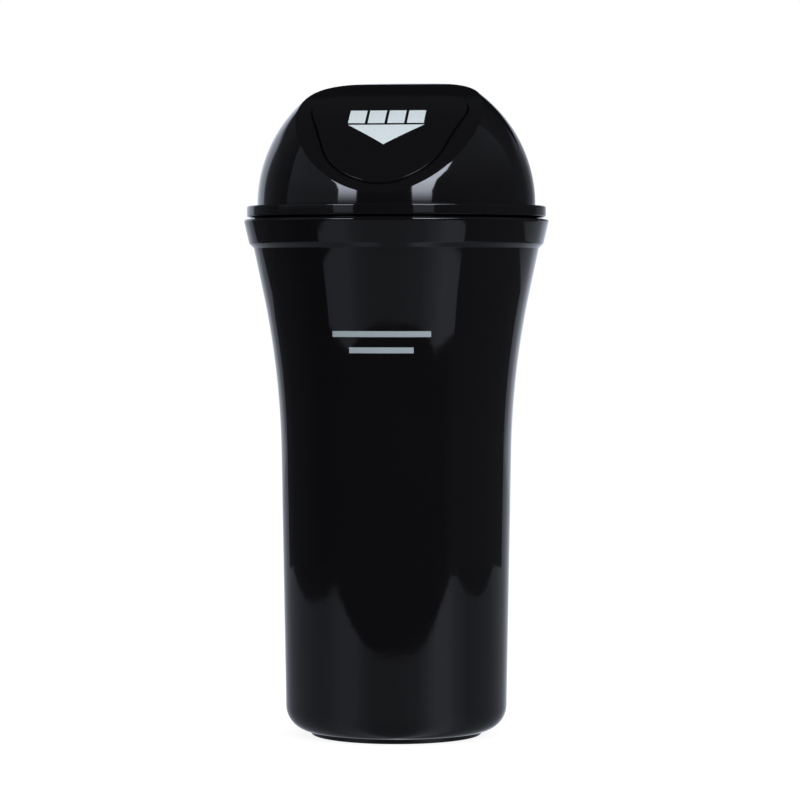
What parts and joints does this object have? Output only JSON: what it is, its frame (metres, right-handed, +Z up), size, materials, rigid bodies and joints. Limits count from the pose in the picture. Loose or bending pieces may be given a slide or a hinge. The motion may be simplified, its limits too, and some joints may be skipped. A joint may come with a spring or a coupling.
{
  "type": "car trash bin",
  "caption": "Slim flared waste bin for a car cup holder, with a domed lid and a spring flap in its slanted face.",
  "frame": {"origin": "centre of the foot ring, on the floor under the bin", "axes": "+Z up along the bin, -Y towards the flap's lower edge, +X along the flap's hinge pin"},
  "size_m": [0.091, 0.091, 0.1958],
  "materials": {
    "bin_plastic": "high gloss black",
    "lid_plastic": "high gloss black",
    "flap_plastic": "high gloss black",
    "pin_steel": "plain steel",
    "spring_steel": "drawn spring wire"
  },
  "bodies": {
    "bin": {"bin_body": "bin_plastic"},
    "lid": {"lid_dome": "lid_plastic", "hinge_pin": "pin_steel", "torsion_spring": "spring_steel"},
    "flap": {"push_flap": "flap_plastic"}
  },
  "joints": [
    {"name": "lid_lift", "type": "slide", "parent": "bin", "child": "lid", "axis": [0, 0, 1], "range_m": [0, 0.06]},
    {"name": "flap_hinge", "type": "hinge", "parent": "lid", "child": "flap", "pos_m": [0, -0.0038, 0.18626], "axis": [1, 0, 0], "range_deg": [0, 50], "stiffness_Nm_per_rad": 0.02, "springref_deg": -28.65, "deforming": ["torsion_spring"]}
  ]
}
